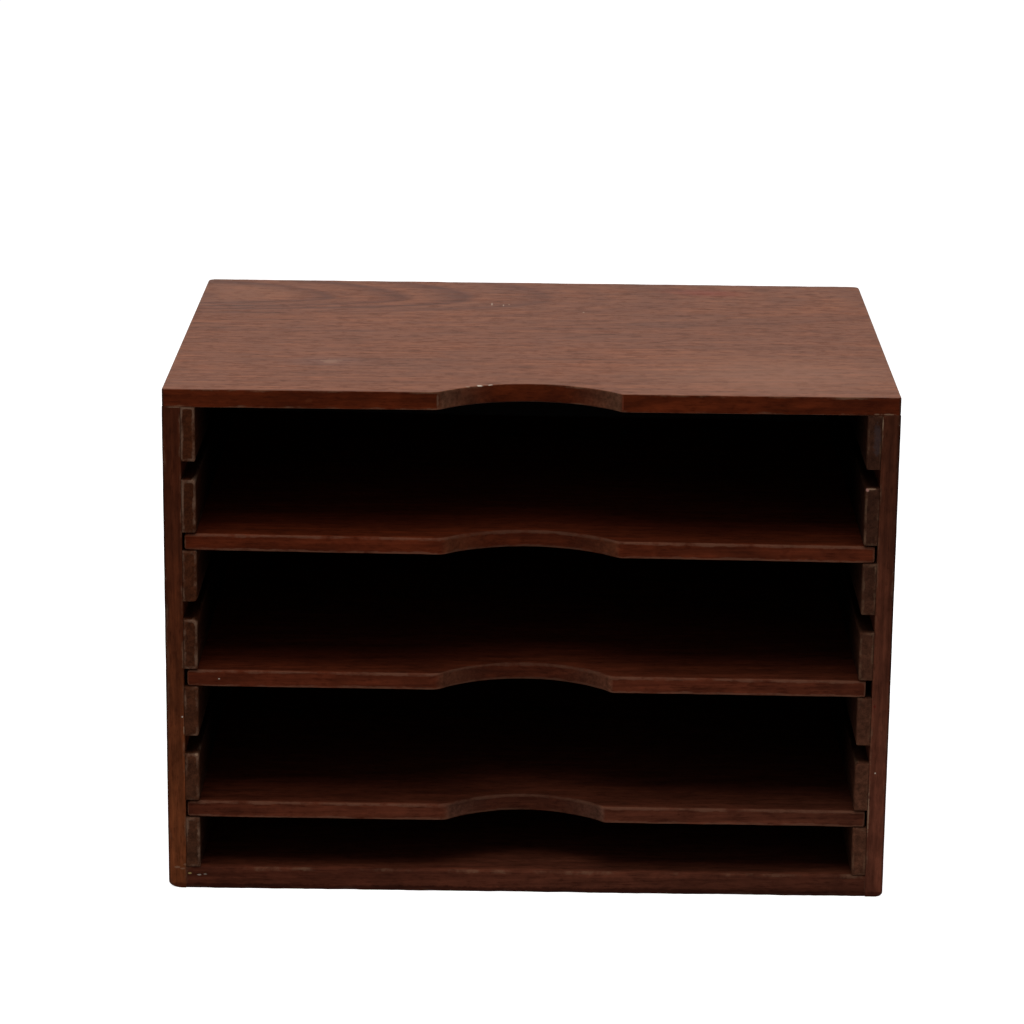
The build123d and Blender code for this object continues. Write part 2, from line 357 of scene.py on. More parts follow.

# %% [markdown]
# ## Painted shade low down and single marks
#
# The rack's lowest millimetres, where it stands on the desk, are painted dark and ragged as shade, with
# a fainter painted shade reaching higher up, and the two rounded outer front arrises are painted dark
# as well. A single mark, such as a scratch, a chip or a pale spot, is an ellipsoid of its own size and
# turn, with a ragged rim. Wood inside it takes the mark's colour: fully within its core, and less and
# less from there to the rim.

# %% Painted shade low down, and marks
OUTER_FACE = 180.0 * MM
ARRIS_SHADE_WIDTH = 1.8 * MM
RAGGED_HEIGHT = 3.4 * MM
low_edge_shade, given, out = new_group("low_edge_shade", ["Mask"], ["Place"])
x, y, z = parts(given["Place"])
ragged = noise(given["Place"], scale=320, detail=4.0, roughness=0.7)
height = maths("MULTIPLY_ADD", ragged, RAGGED_HEIGHT, z)
at_desk = ramp(height, 5.6 * MM, 3.6 * MM)
towards_desk = ramp(height, 18.0 * MM, 6.0 * MM, 0.0, 0.35)
sideways = maths("ABSOLUTE", x)
outermost = ramp(sideways, OUTER_FACE - ARRIS_SHADE_WIDTH, OUTER_FACE - 0.2 * MM)
foremost = ramp(y, FRONT_FACE + 1.6 * MM, FRONT_FACE + 0.8 * MM)
near_desk = maths("MAXIMUM", at_desk, towards_desk)
feed(out["Mask"], maths("MAXIMUM", near_desk, times(outermost, foremost)))

vectors = ["Place", "Centre", "Half Size"]
mark, given, out = new_group("mark", ["Mask"], vectors, numbers=["Turn", "Ragged", "Core"])
from_centre = vector("SUBTRACT", given["Place"], given["Centre"])
turning = {"Vector": from_centre, "Angle": given["Turn"]}
turned = add("VectorRotate", turning, rotation_type="Z_AXIS").outputs[0]
shares = vector("DIVIDE", turned, given["Half Size"])
spread = add("VectorMath", [shares], operation="LENGTH").outputs["Value"]
rim = noise(given["Place"], scale=420, detail=4.0, roughness=0.7)
rim = maths("SUBTRACT", rim, 0.5)
spread = maths("MULTIPLY_ADD", rim, times(given["Ragged"], 2.0), spread)
feed(out["Mask"], ramp(spread, 1.0, given["Core"]))
print("painted low shade and marks")

# %% [markdown]
# ## The stained board
#
# One group lays these on each other in the order in which they came about: the wood's own rings and
# streaks, the stain in its pores, the end grain where the cut goes across, and then the wear. It
# puts out a colour, a roughness and a height. The shader stays in each material, where the
# colours for that board are set. Besides, the stain blends into a paler colour low down, which is
# painted light from the floor; the pale worn arrises are partly a painted highlight; and last the
# colour is multiplied by the painted shade of the bays.

# %% Stained board
board_wood, given, out = new_group(
    "stained board",
    ["Color", "Roughness", "Height"],
    POINT,
    ["Stain", "Low Stain", "Dark", "End Tint", "Bare"],
    [*GROWTH, *ARRIS, "Shade", "Low", "Across Grain", "Figure", "Bands", "Pore Depth", "Patches"]
    + ["Mottle", "Wear", "Roughness"],
)
point = given["Point"]
growth = use(rings, {name: given[name] for name in POINT + GROWTH})
fine = use(fibres, {"Point": point})
ends = use(end_grain, {"Point": point})
wear = use(worn_and_lit, {name: given[name] for name in POINT + ARRIS})["Wear"]

figure = maths("MULTIPLY_ADD", growth["Late Wood"], 0.35, times(growth["Rings"], 0.65))
figure = maths("MAXIMUM", times(figure, given["Figure"]), given["Bands"])
# Painted floor light: the stain blends into a paler colour low down, as light thrown up from the white
# floor would lighten it.
stain_with_floor_light = mix(given["Low"], given["Stain"], given["Low Stain"])
darker = mix(1.0, stain_with_floor_light, given["Dark"], blend="MULTIPLY")
long_grain = mix(figure, stain_with_floor_light, darker)
streaks = ramp(fine["Streaks"], 0.3, 0.7, 0.86, 1.14)
threads = ramp(fine["Fibres"], 0.25, 0.75, 0.84, 1.16)
patches = grain_noise(point, 9, 26, detail=4.0, roughness=0.6)
cloud = about_one(patches, 0.25, 0.75, given["Patches"])
cloud = times(cloud, about_one(fine["Mottle"], 0.3, 0.7, given["Mottle"]))
filled = maths("MULTIPLY_ADD", fine["Bunches"], 0.35, times(fine["Pores"], 0.65))
filled = times(filled, given["Pore Depth"])
long_grain = mix(filled, long_grain, darker)
shade = times(streaks, threads, cloud)
long_grain = mix(1.0, long_grain, shade, blend="MULTIPLY")

grey = times(ramp(ends["Speckle"], 0.3, 0.7, 0.7, 1.3), cloud)
drunk = mix(1.0, stain_with_floor_light, given["End Tint"], blend="MULTIPLY")
cut_across = mix(1.0, drunk, grey, blend="MULTIPLY")
dark_end = mix(1.0, cut_across, given["Dark"], blend="MULTIPLY")
cut_across = mix(times(ends["Dots"], 0.4), cut_across, dark_end)
across_grain = ramp(given["Across Grain"], 0.25, 0.8)
colour = mix(across_grain, long_grain, cut_across)
# The worn arrises take a paler colour: bare wood, and a painted highlight where an arris catches the
# light.
colour = mix(times(wear, given["Wear"]), colour, given["Bare"])
# Painted shade: the colour is multiplied by the shade of the bays.
feed(out["Color"], mix(1.0, colour, given["Shade"], blend="MULTIPLY"))

dull = maths("MULTIPLY_ADD", filled, 0.15, given["Roughness"])
dull = maths("MULTIPLY_ADD", patches, 0.12, maths("SUBTRACT", dull, 0.06))
feed(out["Roughness"], maths("MULTIPLY_ADD", across_grain, 0.15, dull))
low = maths("MULTIPLY_ADD", filled, -0.8, times(fine["Fibres"], 0.35))
feed(out["Height"], maths("MULTIPLY_ADD", ends["Speckle"], across_grain, low))
print("stained board ready")

# %% [markdown]
# ## The finishes
#
# Every board gets the same group with its own colours, because a rack like this is made from what is
# at hand: the fronts are darker and redder, and the cleats' cut ends have drunk the stain and gone
# grey-brown. The top's upward faces take a paler, less red copy of the top's wood than its upright
# faces, which is painted sheen and overhead light.
#
# The grain has to run along each board, so the point that the group reads is turned first. A Mapping
# node turns the object's coordinates, and a second one turns the surface's normal the same
# way. How far that normal points along the grain says how much the face is end grain.

# %% Helpers for the finishes
TOP_HEIGHT = 259.0
MARK_DEPTH = 3 * MM
SOFT_PATCH = 10 * MM
LOW_EDGE_SHADE_SHARE = 0.75
LOW_EDGE_SHADE_TINT = (0.2, 0.12, 0.12, 1.0)
GRAIN_TURNS = {"X": (0.0, 0.0, 0.0), "Y": (0.0, 0.0, -QUARTER), "Z": (0.0, QUARTER, 0.0)}


def new_material(name):
    """A material with no nodes yet, and its tree."""
    material = bpy.data.materials.new(name)
    material.use_nodes = True
    material.node_tree.nodes.clear()
    return material, material.node_tree


def shine(settings):
    """Adds the shader with these settings, and joins it to the material's output."""
    add("OutputMaterial", [add("BsdfPrincipled", settings).outputs[0]])


def sockets(settings):
    """The same settings by the names of a group's inputs: pith_across is Pith Across."""
    return {key.replace("_", " ").title(): value for key, value in settings.items()}


def on_top(x, y, half_x, half_y, turn):
    """Centre, half size and turn of a mark on the top, given in millimetres and degrees."""
    half_size = (half_x * MM, half_y * MM, MARK_DEPTH)
    return (x * MM, y * MM, TOP_HEIGHT * MM), half_size, np.radians(turn)


def on_front(x, z, half_x, half_z):
    """Centre, half size and turn of a mark on the front of the case, given in millimetres."""
    return (x * MM, FRONT_FACE, z * MM), (half_x * MM, MARK_DEPTH, half_z * MM), 0.0


def marked(place, colour, marks, face):
    """Lays single marks on a colour. Each row is its place on the face, ragged, strength and colour.

    A patch wider than SOFT_PATCH has no core, so it fades from its middle.
    """
    for *where, ragged, strength, tint in marks:
        centre, half_size, turn = face(*where)
        core = 0.0 if half_size[0] > SOFT_PATCH else 0.5
        shape = {"Place": place, "Centre": centre, "Half Size": half_size, "Turn": turn}
        mask = use(mark, {**shape, "Ragged": ragged, "Core": core})["Mask"]
        colour = mix(times(mask, strength), colour, tint)
    return colour


def board_material(name, grain, *tables, marks=(), face=on_front, **own):
    """A stained board whose grain runs along one axis.

    Its settings are those of the tables and its own, and a later one takes the place of an
    earlier one. Apart from bump, specular and the painted shade of the bays they are inputs of the
    stained board.
    """
    settings = {}
    for table in (*tables, own):
        settings.update(table)
    bump, specular = settings.pop("bump"), settings.pop("specular")
    kept_light, shade_run = settings.pop("fade")
    material, tree = new_material(name)
    coordinates = add("TexCoord", tree=tree).outputs
    place, turn = coordinates["Object"], GRAIN_TURNS[grain]
    point = add("Mapping", {"Vector": place, "Rotation": turn}).outputs[0]
    # Painted shade in the bays, and the share of painted floor light low down.
    exposure = use(bay_shade_group, {"Place": place, "Kept Light": kept_light, "Fade Run": shade_run})
    turning = {"Vector": coordinates["Normal"], "Rotation": turn}
    facing = add("Mapping", turning, vector_type="NORMAL").outputs[0]
    along = maths("ABSOLUTE", parts(facing)[0])
    inputs = {"Point": point, "Across Grain": along}
    inputs.update({name: exposure[name] for name in ("Shade", "Low")})
    if settings["wear"] > 0.0:
        inputs["Edge"] = add("Attribute", tree=tree, attribute_name="edge").outputs["Fac"]
    wood = use(board_wood, {**inputs, **sockets(settings)})
    tree.nodes[-1].name = "wood"
    relief = add("Bump", {"Strength": bump, "Distance": 0.25 * MM, "Height": wood["Height"]})
    colour = marked(place, wood["Color"], marks, face)
    # Painted shade along the foot and the outer front arrises.
    painted_low_edge_shade = times(use(low_edge_shade, {"Place": place})["Mask"], LOW_EDGE_SHADE_SHARE)
    colour = mix(painted_low_edge_shade, colour, mix(1.0, colour, LOW_EDGE_SHADE_TINT, blend="MULTIPLY"))
    look = {"Base Color": colour, "Roughness": wood["Roughness"], "Specular IOR Level": specular}
    shine({**look, "Normal": relief.outputs["Normal"]})
    return material


def seen(red, green, blue):
    """A colour as it is seen on a screen, 0 to 255, in the linear values that a shader takes."""
    level = np.array([red, green, blue]) / 255.0
    linear = np.where(level <= 0.04045, level / 12.92, ((level + 0.055) / 1.055) ** 2.4)
    return (*linear.tolist(), 1.0)


def stain_and_floor_light(stain, low_stain=None):
    """The stain high up on the rack, and a paler colour low down that is painted light thrown up from the
    floor.
    """
    return {"stain": seen(*stain), "low_stain": seen(*(low_stain or stain))}


def grown(across, depth, lean):
    """Where the pith line lies beside a board, in millimetres, and how much it leans."""
    return {"pith_across": across * MM, "pith_depth": depth * MM, "lean": lean}


print("finishes can be mixed")

# %% [markdown]
# ## The wood of each board
#
# What the boards have in common stands in a few tables: how strong the figure and the pores are, and how
# far the arrises are rubbed and highlit. Each board adds its stain and the paler colour of painted
# floor light low down, the place of its tree's pith, and its marks. Naming every mark is slow, but
# the eye finds the same few chips and pale spots again on the real rack, and noise alone wouldn't
# put them there.

# %% Woods
PLAIN = {
    "bump": 0.4,
    "specular": 0.03,
    "fade": (0.02, 0.12),
    "dark": (0.5, 0.45, 0.45, 1.0),
    "end_tint": (1.0, 1.5, 2.0, 1.0),
    "ring_width": 3.2 * MM,
    "wander": 3.0 * MM,
    "far_side": 1.0,
    "figure": 0.62,
    "pore_depth": 0.8,
    "patches": 0.26,
    "mottle": 0.32,
    "roughness": 0.6,
}
SHELF_WEAR_AND_HIGHLIGHT = {"reach": 0.6, "broken": 0.44, "wear": 0.6, "bare": seen(116, 78, 60)}
FRONT_WEAR_AND_HIGHLIGHT = {"reach": 0.7, "broken": 0.58, "wear": 0.5, "bare": seen(128, 98, 76)}
CLEAT_WEAR_AND_HIGHLIGHT = {"reach": 0.85, "broken": 0.54, "wear": 0.52, "bare": seen(142, 112, 92)}
NOT_RUBBED = {"wear": 0.0}
PALE = seen(150, 120, 96)
CHALK = seen(205, 190, 172)

TOP_TREE = {**grown(86, 42.3 + TOP_HEIGHT, 0.197), "wander": 1.0 * MM, "far_side": 0.5}
TOP_MARKS = [
    # The first row is a broad soft pale patch over the front right of the top: a painted highlight.
    (120, -86, 105, 66, 0, 0.2, 0.3, seen(160, 114, 92)),
    (-150, 95, 50, 38, 0, 0.2, 0.18, seen(160, 108, 82)),
    (-103, -66, 30, 15, 0, 0.2, 0.3, seen(104, 76, 70)),
    (95, 108, 34, 13, 8, 0.3, 0.45, seen(124, 46, 34)),
    (-101, -66, 6, 5, 0, 1.2, 0.35, seen(160, 122, 98)),
    (-22.2, 72.5, 0.5, 4.2, 0, 0.9, 0.4, CHALK),
    (-16, 70, 0.5, 2.8, 0, 0.9, 0.38, CHALK),
    (-13, 72, 0.6, 1.6, 0, 0.8, 0.6, PALE),
    (27, 55, 0.7, 1.6, 0, 0.5, 0.25, CHALK),
    (-25, -115.4, 2.6, 1.2, 20, 0.8, 0.95, CHALK),
    (-20, -113.6, 1.8, 1.0, 15, 0.8, 0.9, CHALK),
    (-31, -118, 1.6, 0.9, 30, 0.8, 0.7, PALE),
]
TOP_EDGE_MARKS = [
    (-108, 254, 2.5, 1.5, 1.0, 0.2, seen(112, 60, 34)),
    (168, 250.6, 1.4, 0.4, 0.8, 0.4, PALE),
    (174, 250.6, 4, 0.5, 0.8, 0.6, PALE),
    (-45.5, 254, 0.7, 4.5, 0.8, 0.25, PALE),
    (44.6, 254, 0.5, 4.5, 0.6, 0.4, seen(130, 60, 40)),
]
# The top's stain is paler and less red than the top edge's: painted sheen and overhead light on its
# upward faces.
top_sheen_wood = board_material(
    "top wood with painted sheen",
    "X",
    PLAIN,
    TOP_TREE,
    stain_and_floor_light((122, 72, 47)),
    marks=TOP_MARKS,
    face=on_top,
    bump=0.35,
    specular=0.2,
    dark=(0.44, 0.36, 0.33, 1.0),
    ring_width=4.6 * MM,
    figure=0.38,
    patches=0.12,
    mottle=0.18,
    reach=0.8,
    broken=0.6,
    wear=0.3,
    bare=seen(140, 98, 74),
    roughness=0.62,
)
EDGE = {**FRONT_WEAR_AND_HIGHLIGHT, "end_tint": (1.16, 3.0, 6.5, 1.0)}
edge_colours = stain_and_floor_light((88, 34, 13), (96, 44, 26))
top_edge_wood = board_material(
    "top edge wood", "X", PLAIN, TOP_TREE, EDGE, edge_colours, marks=TOP_EDGE_MARKS
)

SIDE = {**PLAIN, **FRONT_WEAR_AND_HIGHLIGHT, "end_tint": (1.0, 1.4, 1.8, 1.0)}
LEFT_SIDE_MARKS = [
    (-172, 91, 0.5, 0.6, 0.4, 0.9, CHALK),
    (-171.3, 84, 0.35, 2.5, 0.6, 0.8, PALE),
    (-175.5, 11.2, 1.6, 0.7, 1.0, 0.45, PALE),
    (-173.0, 10.4, 1.4, 0.6, 1.2, 0.5, PALE),
    (-171.6, 12.6, 0.9, 0.6, 1.0, 0.4, PALE),
    (-172.5, 250, 4.5, 0.5, 0.8, 0.6, PALE),
]
RIGHT_SIDE_MARKS = [
    (174, 66, 0.5, 0.6, 0.4, 0.8, CHALK),
    (171.3, 45, 0.4, 15, 1.2, 0.7, PALE),
    (171.2, 246, 0.45, 4, 0.5, 0.8, PALE),
    (172.5, 101, 0.7, 0.9, 0.4, 0.7, seen(96, 14, 10)),
]
left_colours = stain_and_floor_light((79, 36, 19), (146, 80, 44))
left_side_wood = board_material(
    "left side wood", "Z", SIDE, left_colours, grown(-60, 300, 0.03), marks=LEFT_SIDE_MARKS
)
right_colours = stain_and_floor_light((74, 37, 22), (113, 62, 45))
right_side_wood = board_material(
    "right side wood",
    "Z",
    SIDE,
    right_colours,
    grown(40, 260, -0.02),
    dark=(0.5, 0.48, 0.48, 1.0),
    marks=RIGHT_SIDE_MARKS,
)

SHELF = {
    **PLAIN,
    **stain_and_floor_light((94, 37, 16), (97, 52, 36)),
    **grown(-40, 240, 0.04),
    "fade": (0.3, 0.12),
    "end_tint": (1.25, 2.0, 2.6, 1.0),
}
SHELF_MARKS = [
    (-153.5, 110.7, 0.8, 0.5, 0.5, 0.9, CHALK),
    (151, 184.6, 3.5, 0.5, 0.8, 0.8, PALE),
    (-162, 185.8, 2.5, 0.5, 0.8, 0.8, PALE),
]
BOTTOM_MARKS = [
    (-169.3, 8, 1.1, 0.6, 0.6, 0.7, seen(200, 176, 110)),
    (-164.6, 7.2, 1.4, 0.45, 1.0, 0.6, CHALK),
    (-161.6, 7.6, 1.1, 0.4, 1.0, 0.5, CHALK),
]
shelf_wood = board_material("shelf wood", "X", SHELF, SHELF_WEAR_AND_HIGHLIGHT, marks=SHELF_MARKS)
bottom_wood = board_material("bottom wood", "X", SHELF, FRONT_WEAR_AND_HIGHLIGHT, marks=BOTTOM_MARKS)

CLEAT = {
    **PLAIN,
    **grown(90, 120, 0.05),
    "bump": 0.5,
    "fade": (0.02, 0.07),
    "dark": (0.45, 0.42, 0.42, 1.0),
    "end_tint": (1.0, 1.0, 1.0, 1.0),
}
LEFT_CLEAT_MARKS = [(-165, 71.2, 1.2, 0.8, 0.6, 0.8, PALE)]
RIGHT_CLEAT_MARKS = [
    (168.6, 238, 2.2, 11, 1.0, 0.35, seen(66, 60, 64)),
    (164.9, 212.4, 1.0, 0.9, 0.5, 0.85, seen(176, 128, 116)),
    (167, 212.8, 3.0, 0.4, 0.5, 0.7, PALE),
    (166, 37, 0.5, 0.6, 0.4, 0.8, CHALK),
]
left_colours = stain_and_floor_light((67, 33, 17), (85, 54, 38))
left_cleat_wood = board_material(
    "left cleat wood", "Y", CLEAT, CLEAT_WEAR_AND_HIGHLIGHT, left_colours, marks=LEFT_CLEAT_MARKS
)
right_colours = stain_and_floor_light((57, 33, 23), (86, 52, 37))
right_cleat_wood = board_material(
    "right cleat wood", "Y", CLEAT, FRONT_WEAR_AND_HIGHLIGHT, right_colours, marks=RIGHT_CLEAT_MARKS
)

back_wood = board_material(
    "back wood",
    "X",
    PLAIN,
    NOT_RUBBED,
    stain_and_floor_light((96, 56, 40)),
    grown(30, 280, 0.05),
    specular=0.1,
    ring_width=4.5 * MM,
    wander=4.0 * MM,
    figure=0.7,
    pore_depth=0.5,
    patches=0.15,
    mottle=0.1,
    roughness=0.7,
)
print("woods:", len(bpy.data.materials))

# %% [markdown]
# ## The arches at the back of the top
#
# Even rings would make the top's arches all alike. On the real board each is a broad dark band, some
# darker than others, and the gaps between them differ, because the tree grew faster in some years. So
# those years are written down: the radius in millimetres at which each ended, and how dark its late wood
# is. A ramp darkens slowly towards the end of a year and breaks off sooner behind it.

# %% Arches of the top
YEARS = {8: 0.8, 20.4: 1.0, 28.2: 0.95, 35.0: 1.0, 43.6: 0.8, 57.5: 0.5, 86: 0.6}
YEARS.update({99: 0.4, 113: 0.4, 127: 0.3})
LAST_YEAR = 140
DARKENING, BREAK = 4.6, 1.7


def year_bands(radius):
    """A mask that is dark where each year ends, from the table of radii."""
    node = add("ValToRGB", [maths("DIVIDE", radius, LAST_YEAR * MM)])
    elements = node.color_ramp.elements
    elements.remove(elements[1])
    for end, dark in YEARS.items():
        for place, value in ((end - DARKENING, 0.0), (end, dark), (end + BREAK, 0.0)):
            elements.new(place / LAST_YEAR).color = (value, value, value, 1.0)
    return node.outputs["Color"]


tree = top_sheen_wood.node_tree
wood_node = tree.nodes["wood"]
point = wood_node.inputs["Point"].links[0].from_socket
radius = use(rings, {"Point": point, **sockets(TOP_TREE)})["Radius"]
feed(wood_node.inputs["Bands"], year_bands(radius))
print("years in the table:", len(YEARS))

# %% [markdown]
# ## Raw wood and wire
#
# Two finishes are never seen on a whole rack. The tongues inside the joints were glued in before the rack
# was stained, so they are raw wood. The brads are cut from drawn wire, which leaves fine lines along it.

# %% Raw wood and wire
RAW = (0.42, 0.28, 0.16, 1.0)
raw_wood = board_material(
    "raw wood",
    "Y",
    PLAIN,
    NOT_RUBBED,
    grown(100, 300, 0.087),
    bump=0.3,
    specular=0.2,
    stain=RAW,
    low_stain=RAW,
    dark=(0.6, 0.5, 0.42, 1.0),
    roughness=0.75,
)
BRAD_STEEL = (0.3, 0.29, 0.28, 1.0)
BRAD_DULL = (0.16, 0.14, 0.13, 1.0)
brad_steel, tree = new_material("drawn steel")
place = add("TexCoord", tree=tree).outputs["Object"]
drawn = noise(vector("MULTIPLY", place, (3000, 150, 3000)), detail=3.0)
tarnish = ramp(noise(place, scale=600, detail=4.0), 0.4, 0.65)
relief = add("Bump", {"Strength": 0.2, "Distance": 0.05 * MM, "Height": drawn})
shine(
    {
        "Base Color": mix(tarnish, BRAD_STEEL, BRAD_DULL),
        "Metallic": 1.0,
        "Roughness": ramp(drawn, 0.3, 0.7, 0.38, 0.6),
        "Normal": relief.outputs["Normal"],
    },
)
print("finishes:", [material.name for material in bpy.data.materials])

# %% [markdown]
# ## The lights and the floor
#
# The rack stands on white. It is lit softly, mostly from above, by a wide lamp overhead and an even
# pale world. The top's paler colour than the fronts, the black a few centimetres into the bays and the
# paler wood low down are painted into the wood's colours as well.
#
# The background must be pure white without more light falling on the wood. So the floor and the world
# show white to the camera and to reflections alone, and light the wood at their own lower level.

# %% Lights and floor
WORLD_LEVEL = 0.15
FLOOR_SIDE = 16.0
FLOOR_COLOUR = 0.8
FLOOR_GLOW = 0.92
OVERHEAD_WATTS = 21.0
OVERHEAD_SIDE = 1.4
OVERHEAD_PLACE = (-0.1, -0.45, 1.7)


def seen_directly(tree):
    """1 for rays from the camera, a reflection or a transmission, and 0 for light on the wood."""
    rays = add("LightPath", tree=tree).outputs
    shiny = maths("MAXIMUM", rays["Is Glossy Ray"], rays["Is Transmission Ray"])
    return maths("MAXIMUM", rays["Is Camera Ray"], shiny)


world = bpy.data.worlds.new("world")
world.use_nodes = True
tree = world.node_tree
tree.nodes.clear()
level = maths("MULTIPLY_ADD", seen_directly(tree), 1.0 - WORLD_LEVEL, WORLD_LEVEL)
sky = add("Background", {"Color": (1.0, 1.0, 1.0, 1.0), "Strength": level})
add("OutputWorld", [sky.outputs[0]])
bpy.context.scene.world = world

floor_material, tree = new_material("white floor")
glow = times(seen_directly(tree), FLOOR_GLOW)
shine(
    {
        "Base Color": (FLOOR_COLOUR, FLOOR_COLOUR, FLOOR_COLOUR, 1.0),
        "Roughness": 1.0,
        "Specular IOR Level": 0.0,
        "Emission Color": (1.0, 1.0, 1.0, 1.0),
        "Emission Strength": glow,
    },
)
half = FLOOR_SIDE / 2
floor_mesh = bpy.data.meshes.new("floor")
corners = [(-half, -half, 0.0), (half, -half, 0.0), (half, half, 0.0), (-half, half, 0.0)]
floor_mesh.from_pydata(corners, [], [(0, 1, 2, 3)])
floor_mesh.materials.append(floor_material)
floor = bpy.data.objects.new("floor", floor_mesh)
bpy.context.scene.collection.objects.link(floor)

lamp_data = bpy.data.lights.new("overhead", "AREA")
lamp_data.energy = OVERHEAD_WATTS
lamp_data.size = OVERHEAD_SIDE
lamp = bpy.data.objects.new("overhead", lamp_data)
lamp.location = OVERHEAD_PLACE
bpy.context.scene.collection.objects.link(lamp)
print("lamps:", len(bpy.data.lights))

bpy.context.scene.view_settings.view_transform = "Standard"

# %% [markdown]
# ## A board whose arrises wander
#
# A board could be a box with a Bevel modifier, but then each arris has one radius from end to end.
# Here a board is a rounded outline carried along its length. Each corner of the outline has its own
# radius at every station, so an arris can be crisp here and worn there, and a finger scoop is only
# an outline whose front side steps back and comes forward again.
#
# Everything is worked out for all stations at once, as arrays. The surface only ever loses wood against
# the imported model, as the real one did, so it stays within its size.

# %% Outlines with rounded corners
ARC_STEPS = 5
NEAR_ARRIS = np.array([0.35, 1.1, 3.0]) * MM
NEAR_SHARE = np.array([0.1, 0.22, 0.36])
SHARPEST = 0.05 * MM


def unit(vectors):
    """Each vector divided by its own length."""
    return vectors / np.linalg.norm(vectors, axis=-1, keepdims=True)


def corner_parts(corners):
    """The directions from each corner back and ahead, and half the angle between them."""
    back = unit(np.roll(corners, 1, axis=1) - corners)
    ahead = unit(np.roll(corners, -1, axis=1) - corners)
    half_angle = np.arccos(np.clip((back * ahead).sum(-1), -1.0, 1.0)) / 2
    return back, ahead, half_angle


def rounded(corners, radii):
    """Rounds the corners of many outlines at once, and gives each point's distance to an arris.

    Each corner becomes the arc that touches both of its sides: its centre lies on the corner's
    bisector at radius / sin(half angle), and its points turn evenly from one side to the other.
    Each side also gets points close to its arcs, so that a flat stays flat when it is shaded.
    """
    back, ahead, half_angle = corner_parts(corners)
    centre = corners + unit(back + ahead) * (radii / np.sin(half_angle))[..., None]
    reach = (radii / np.tan(half_angle))[..., None]
    first, last = corners + back * reach, corners + ahead * reach
    turn = (np.pi - 2 * half_angle)[..., None]
    share = np.linspace(0.0, 1.0, ARC_STEPS + 1)
    from_first = (np.sin((1 - share) * turn) / np.sin(turn))[..., None]
    from_last = (np.sin(share * turn) / np.sin(turn))[..., None]
    spoke_first, spoke_last = (first - centre)[:, :, None], (last - centre)[:, :, None]
    arcs = centre[:, :, None] + spoke_first * from_first + spoke_last * from_last
    side = np.roll(first, -1, axis=1) - last
    length = np.linalg.norm(side, axis=-1, keepdims=True)
    lead = np.minimum(NEAR_ARRIS / length, NEAR_SHARE)
    shares = np.concatenate([lead, np.full_like(length, 0.5), 1 - lead[..., ::-1]], axis=-1)
    flats = last[:, :, None] + side[:, :, None] * shares[..., None]
    to_arris = np.minimum(shares, 1 - shares) * length
    stations_count = len(corners)
    points = np.concatenate([arcs, flats], axis=2).reshape(stations_count, -1, 2)
    edge = np.concatenate([np.zeros(arcs.shape[:3]), to_arris], axis=2).reshape(stations_count, -1)
    return points, edge


def inset(corners, distance):
    """Moves every side of an anticlockwise outline inwards by a distance, one for each station."""
    back, ahead, half_angle = corner_parts(corners)
    hollow = np.sign(ahead[..., 0] * back[..., 1] - ahead[..., 1] * back[..., 0])
    step = hollow * np.reshape(distance, (-1, 1)) / np.sin(half_angle)
    return corners + unit(back + ahead) * step[..., None]


def rectangle(a_low, a_high, b_low, b_high):
    """The four corners of an outline at each station, anticlockwise."""
    a_low, a_high, b_low, b_high = np.broadcast_arrays(a_low, a_high, b_low, b_high)
    corners = np.stack([a_low, b_low, a_high, b_low, a_high, b_high, a_low, b_high], axis=-1)
    return corners.reshape(-1, 4, 2)


sample, _ = rounded(rectangle([0.0], [0.3], [0.0], [0.009]), np.full((1, 4), MM))
print("points round an outline:", sample.shape[1])

# %% [markdown]
# ## Stations, ends and wear
#
# Along the board the stations are even, and closer together where an end is rounded. A quarter-round is
# drawn in by radius minus the height of its circle. The wear of an arris is a smooth random line:
# random heights at even spacing, joined by cosines. Each has its own seed, so it comes out the same
# every time. A knock is a short stretch where the radius swells.

# %% Stations, ends and wear
WEAR_SPACING = 11 * MM
FINE_SPACING = 2.7 * MM


def stations(low, high, step, fine):
    """Places along a board, spaced by step, and closer within the fine run at each end.

    Within that run they are spaced like the cosine of an even turn, as a quarter-round needs.
    """
    turn = np.linspace(0.0, np.pi / 2, ARC_STEPS + 2)
    near = np.concatenate([fine * (1 - np.cos(turn)), fine + NEAR_ARRIS])
    middle = np.arange(low + near[-1] + step, high - near[-1] - step / 2, step)
    return np.concatenate([low + near, middle, (high - near)[::-1]])


def run_from(end, along):
    """The distance of each station from one end."""
    return np.abs(along - end)


def ease(run, radius):
    """How far a quarter-round draws the wood in: radius - sqrt(radius^2 - (radius - run)^2)."""
    inside = np.clip(radius - run, 0.0, radius)
    return radius - np.sqrt(radius**2 - inside**2)


def drift(along, spacing, seed):
    """A smooth random line from -1 to 1: random heights at even spacing, joined by cosines."""
    heights = np.random.default_rng(seed).uniform(-1.0, 1.0, 2048)
    steps = along / spacing + 1024
    whole = np.floor(steps).astype(int)
    share = (1 - np.cos(np.pi * (steps - whole))) / 2
    return heights[whole] * (1 - share) + heights[whole + 1] * share


def wandering(along, radii, seed, knocks=()):
    """Radii of the arrises at each station. knocks holds (corner, place, width, depth)."""
    rows = []
    for corner, radius in enumerate(radii):
        slow = drift(along, WEAR_SPACING, seed + corner)
        quick = drift(along, FINE_SPACING, seed + corner + 500)
        rows.append(radius * (1.0 + 0.35 * slow + 0.2 * quick))
    worn_radii = np.stack(rows, axis=1)
    for corner, place, width, depth in knocks:
        worn_radii[:, corner] += depth * np.exp(-(((along - place) / width) ** 2))
    return np.maximum(worn_radii, SHARPEST)


print("an arris of 1 mm wanders from", wandering(np.linspace(0, 0.3, 300), [MM], 1).min().round(5), "m")

